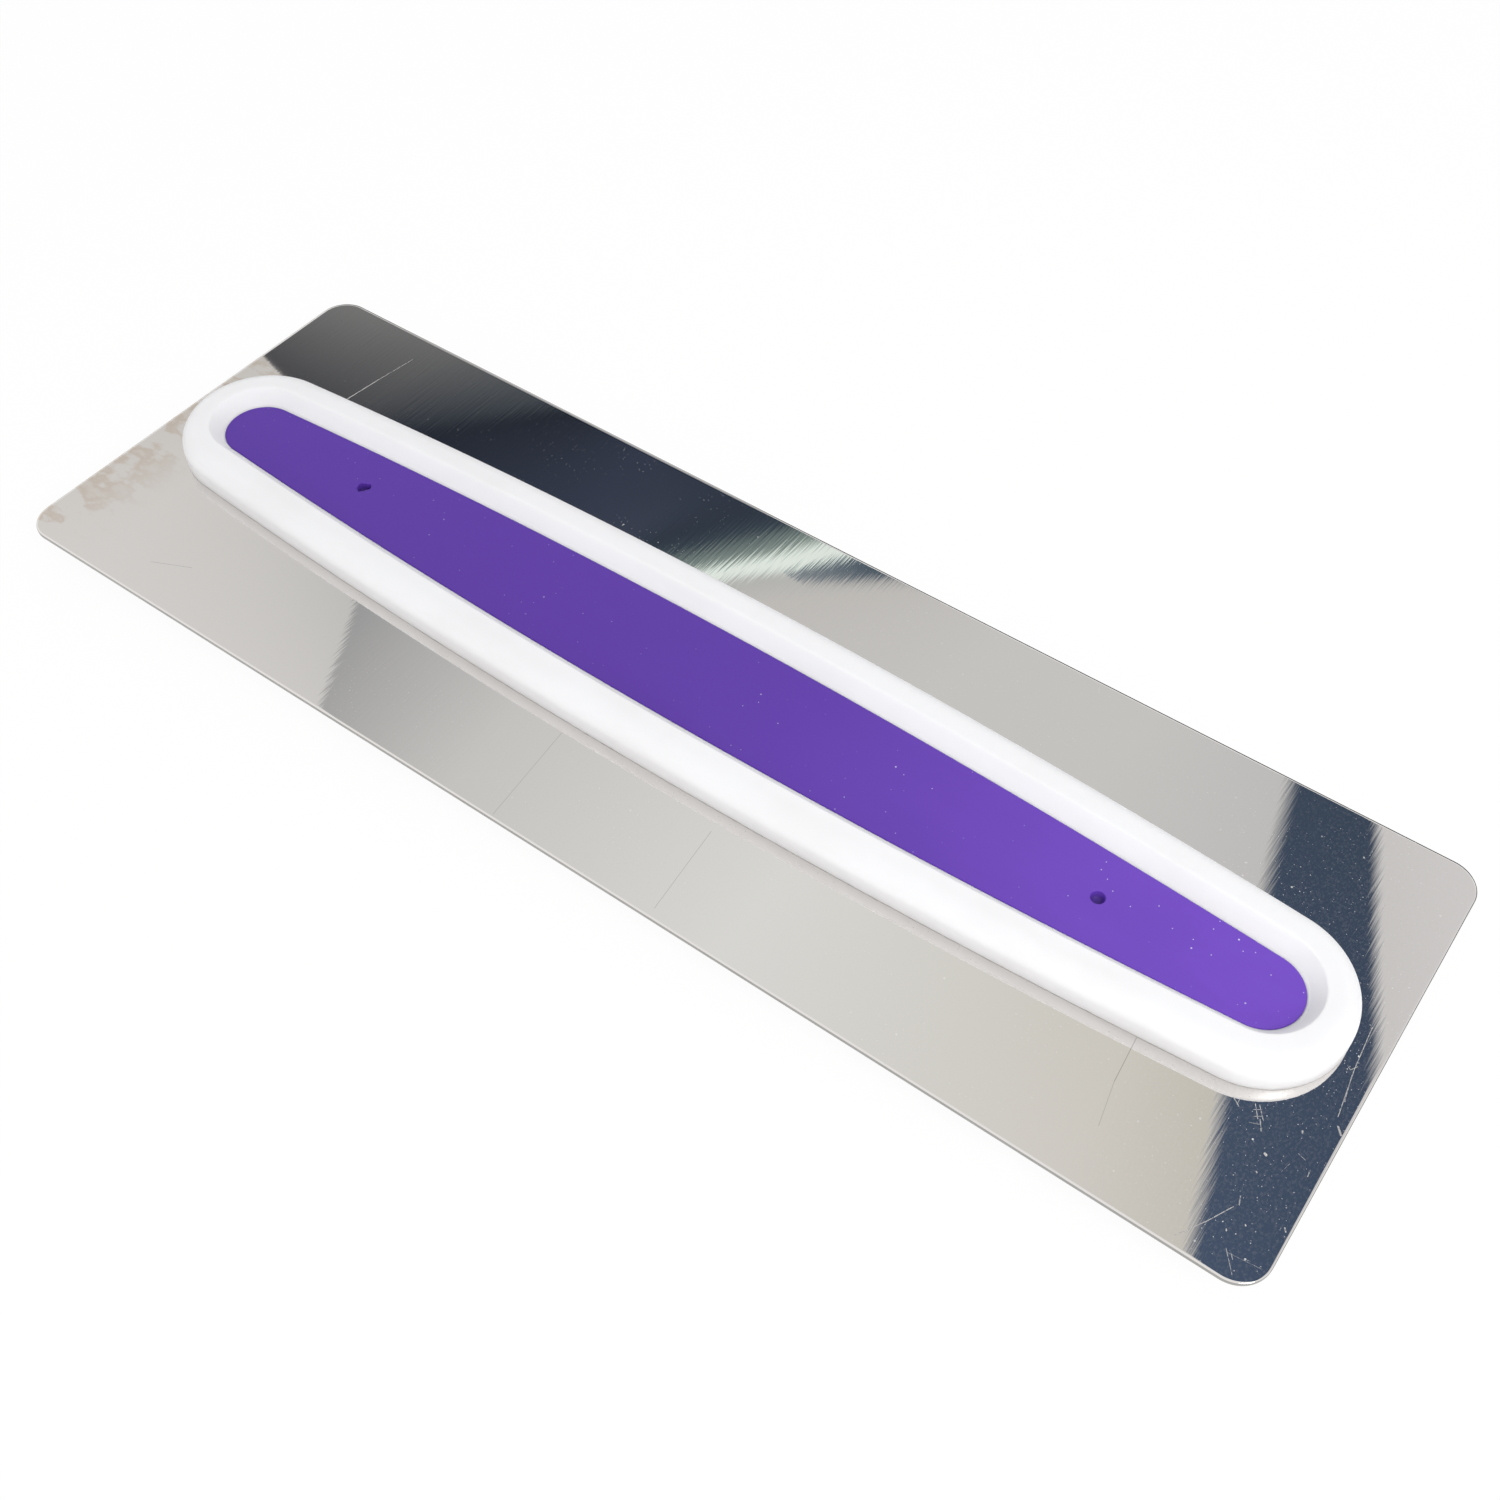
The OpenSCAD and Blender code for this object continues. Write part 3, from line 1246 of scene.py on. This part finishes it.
@dataclass(frozen=True)
class Studio:
    """White table, soft lamps, reflection cards, dark flag and the camera."""

    # Camera that was fitted to the edges in the photograph: its place in millimetres, its line of
    # sight, its right hand, its lens, and the pixel that it looks at
    eye: Triple = (109.51, -133.92, 210.02)
    sight: Triple = (-0.35402, 0.50373, -0.78799)
    right: Triple = (0.8132, 0.58195, 0.00667)
    lens: float = 40.79
    sensor: float = 36.0
    centre_px: Point = (776.5, 755.2)
    # The table is white paper, of which the camera sees this share as pure white. The rest takes
    # the tool's shadow
    floor_side: float = 6.0
    floor_gap: float = 0.02
    floor_glow: float = 0.92
    # Light of the white room on the tool, where 1 is white
    ambient: float = 0.78
    lamps: tuple[SoftLamp, ...] = (
        SoftLamp("key_lamp", (0.45, -0.17, 0.46), 0.2, 1.38),
        SoftLamp("front_lamp", (0.3, -0.65, 0.27), 0.3, 0.62, mirrored=False),
    )
    # Width, place and height of the dark board behind the tool, in metres
    flag_w: float = 2.0
    flag_y: float = 0.25
    flag_h: float = 0.2
    # Tones that the steel shows of the dark end of the room, its lamp and its pale walls
    charcoal: str = "#45474B"
    slate: str = "#394454"
    lamp: str = "#DDE5DD"
    pale: str = "#C4C2BF"

    def camera(self) -> bpy.types.Object:
        """Set the camera to the photograph's view.

        Returns:
            The camera.
        """
        data = bpy.data.cameras.new("photo_camera")
        data.lens = self.lens
        data.sensor_width = self.sensor
        middle = (PHOTO_SIDE - 1) / 2
        data.shift_x = (middle - self.centre_px[0]) / PHOTO_SIDE
        data.shift_y = (self.centre_px[1] - middle) / PHOTO_SIDE
        data.clip_start = 0.01
        data.clip_end = 50.0
        camera = bpy.data.objects.new("photo_camera", data)
        back = -Vector(self.sight).normalized()
        across = Vector(self.right).normalized()
        up = back.cross(across).normalized()
        pose = camera.matrix_world.copy()
        for row in range(3):
            pose[row][0], pose[row][1], pose[row][2] = across[row], up[row], back[row]
            pose[row][3] = self.eye[row] * MM
        camera.matrix_world = pose
        bpy.context.scene.collection.objects.link(camera)
        bpy.context.scene.camera = camera
        return camera

    def seen(self, nodes: Nodes) -> Socket:
        """Tell the rays by which the background is seen, straight or in the steel.

        Args:
            nodes: node tree of a material or of the world.

        Returns:
            One for camera, glossy and transmission rays, and zero for the rays that light the tool.
        """
        direct = nodes.add("LightPath", out="Is Camera Ray")
        path = direct.node.outputs
        mirrored = nodes.add("Math", (direct, path["Is Glossy Ray"]), operation="MAXIMUM")
        return nodes.add("Math", (mirrored, path["Is Transmission Ray"]), operation="MAXIMUM")

    def world(self) -> None:
        """Light the tool from all sides, and show pure white behind it."""
        world = bpy.data.worlds.new("white_room")
        bpy.context.scene.world = world
        world.use_nodes = True
        nodes = Nodes(world.node_tree)
        room = nodes.add("Background", (srgb(WHITE), self.ambient))
        white = nodes.add("Background", (srgb(WHITE), 1.0))
        nodes.end(nodes.add("MixShader", (self.seen(nodes), room, white)), "OutputWorld")

    def floor(self) -> bpy.types.Object:
        """Lay the white table under the tool.

        Returns:
            The floor, which keeps the tool's soft shadow.
        """
        mesh = bmesh.new()
        half = self.floor_side / 2
        drop = CAD_BOX[0][2] - self.floor_gap * MM
        mesh.faces.new([mesh.verts.new((x * half, y * half, drop)) for x, y in ((-1, -1), (1, -1), (1, 1), (-1, 1))])
        material = new_material("white_paper_table")
        nodes = Nodes(material.node_tree)
        share = nodes.add("Math", (self.seen(nodes), self.floor_glow), operation="MULTIPLY")
        paper = nodes.add("BsdfDiffuse", {"Color": srgb(WHITE)})
        white = nodes.add("Emission", (srgb(WHITE), 1.0))
        nodes.end(nodes.add("MixShader", (share, paper, white)))
        table = mesh_object("table", mesh, material)
        return table

    def flag(self) -> bpy.types.Object:
        """Stand a low dark board behind the tool, which the rounded edges of the steel pick up.

        Returns:
            The board, which only shiny surfaces see.
        """
        mesh = bmesh.new()
        corners = ((-0.5, 0), (0.5, 0), (0.5, 1), (-0.5, 1))
        mesh.faces.new([mesh.verts.new((x * self.flag_w, self.flag_y, z * self.flag_h)) for x, z in corners])
        material = new_material("dark_flag")
        nodes = Nodes(material.node_tree)
        nodes.end(nodes.add("Emission", (srgb(self.charcoal), 1.0)))
        board = mesh_object("dark_flag", mesh, material)
        show_to_mirrors(board)
        return board

    def cards(self) -> list[ReflectionCard]:
        """List the cards that the steel mirrors in the photograph's view.

        Returns:
            Dark wall, lamp strip, the dark column beside it, pale wall, navy banner and front glow.
        """
        streak_start = Rail(((-27, 14), (-21, 22), (-15.5, 30), (-9.5, 38), (-4, 46)), ("#3A444D",))
        streak_end = Rail(((-14, 14), (-8, 22), (0.4, 30), (6.5, 38), (13, 46)), ("#B1B1AE",))
        column_tones = ("#7A8287", "#4C5863", "#404A55")
        dark_wall = ReflectionCard(
            "dark_wall_card",
            (
                Rail(((-124, 19.5), (-124, 46)), ("#4E4E50", "#8A8987")),
                Rail(((-90, 10.3), (-86, 46)), ("#3D3E43", "#6E6E6D")),
                Rail(((-86, 10.3), (-55.6, 46)), ("#2C3038", "#444A50")),
                Rail(((-80, 10.3), (-51.7, 46)), ("#242932",)),
                Rail(((-42, 10), (-40, 46)), ("#343A49",)),
                Rail(((-30, 10), (-27.5, 46)), ("#3E4453", "#2F3542")),
                Rail(((-28.3, 14), (-24.5, 22), (-20, 30), (-14.5, 38), (-9, 46)), ("#2F3742",)),
                streak_start,
            ),
        )
        lamp_strip = ReflectionCard(
            "lamp_strip_card",
            (
                streak_start,
                Rail(((-20.8, 14), (-15.2, 22), (-9.0, 30), (-3.5, 38), (2, 46)), ("#7E8B85",)),
                Rail(((-19, 14), (-13, 22), (-6, 30), (-0.2, 38), (6, 46)), (self.lamp,)),
                Rail(((-16.5, 14), (-11, 22), (-2.9, 30), (3.2, 38), (9.5, 46)), (self.lamp,)),
                streak_end,
            ),
        )
        column = ReflectionCard(
            "dark_column_card",
            (
                Rail(((-3.9, 27.8), (8.2, 46)), (self.lamp,)),
                Rail(((-2.7, 27.8), (11.0, 46)), column_tones),
                Rail(((-1.0, 27.8), (19.8, 46)), column_tones),
                Rail(((0.6, 27.8), (23.4, 46)), ("#ABAAA7",)),
                Rail(((1.6, 27.8), (28.4, 46)), ("#BAB7B4",)),
            ),
            height=419.0,
        )
        pale_wall = ReflectionCard(
            "pale_wall_card",
            (
                streak_end,
                Rail(((-8, 14), (-1, 22), (7.4, 30), (15.5, 38), (22, 46)), ("#BDBAB6",)),
                Rail(((30, 14), (34, 46)), (self.pale,)),
                Rail(((60, 14), (62, 46)), (self.pale,)),
                Rail(((98, 14), (84, 46)), ("#BBB9B8",)),
            ),
        )
        banner = ReflectionCard(
            "navy_banner",
            (
                Rail(((81.0, 44), (86.8, 22), (92.3, 2), (101.3, -27), (106.4, -46)), ("#B8B7B5", "#C0BCB6")),
                Rail(((83.4, 44), (89.2, 22), (94.4, 2), (103.4, -27), (108.5, -46)), (self.slate, "#465369")),
                Rail(((93.7, 44), (102.9, 22), (111.7, 2), (120.4, -27), (125.4, -46)), (self.slate, "#414D62")),
                Rail(((95.5, 44), (104.7, 22), (113.6, 2), (122.5, -27), (127.5, -46)), ("#C6C3C1",)),
                Rail(((126, 44), (136, -2), (146, -46)), ("#D0CDCC",)),
            ),
            height=110.0,
        )
        front_glow = ReflectionCard(
            "front_glow_card",
            (
                Rail(((-124, 19.5), (-124, -48)), ("#BDB8B2", "#D0CCC7")),
                Rail(((-100, 13), (-100, -48)), ("#C8C5C1", "#D2CECB")),
                Rail(((-62.8, -8), (-56.8, -18), (-50.6, -28), (-44.9, -38), (-39.2, -48)), ("#B6B5B2", "#D0CDCA")),
                Rail(((-62.0, -8), (-56.0, -18), (-49.8, -28), (-44.1, -38), (-38.4, -48)), ("#919192", "#A9A8A6")),
                Rail(((-20, -8), (-18, -48)), (self.pale,)),
                Rail(((32, -8), (32, -48)), ("#D6D5D1",)),
                Rail(((84, -8), (88, -48)), ("#C8C4BA", "#D0CCC6")),
                Rail(((101, -8), (108, -48)), ("#BBB6AA", "#C4C0B8")),
            ),
            height=160.0,
        )
        return [dark_wall, lamp_strip, column, pale_wall, banner, front_glow]

    def build(self) -> None:
        """Set up the whole studio."""
        bpy.context.scene.view_settings.view_transform = "Standard"
        self.camera()
        self.world()
        self.floor()
        for card in self.cards():
            card.build(Vector(self.eye), blade_face(Side.FRONT))
        self.flag()
        for lamp in self.lamps:
            lamp.build()
        LOG.info("studio is set")


def main() -> None:
    """Build the tool and its studio."""
    logging.basicConfig(level=logging.INFO, format="%(message)s")
    blade_top = blade_face(Side.FRONT)
    shell_h = node_box("front_shell")[1].z - blade_top
    insert_top = node_box("front_grip")[1].z - blade_top
    outline = HandleOutline.from_frame()

    Blade().build(BrightRolledStainless("bright_rolled_stainless").material(), StampedEdge("stamped_edge").material())
    white = MouldedAbs("moulded_white_abs").material()
    purple = SoftTouchTpe("soft_touch_purple_tpe").material()
    torn = GateWell(-71.2, radius=0.95, depth=1.45, lip_r=0.08, stretch=1.25, tear=0.16, stub=0.35)
    for side in Side:
        HalfShell(side, outline, shell_h, insert_top).build(white)
        SoftInsert(side, outline, insert_top, (GateWell(70.8), torn)).build(purple)
    Studio().build()


if __name__ == "__main__":
    main()
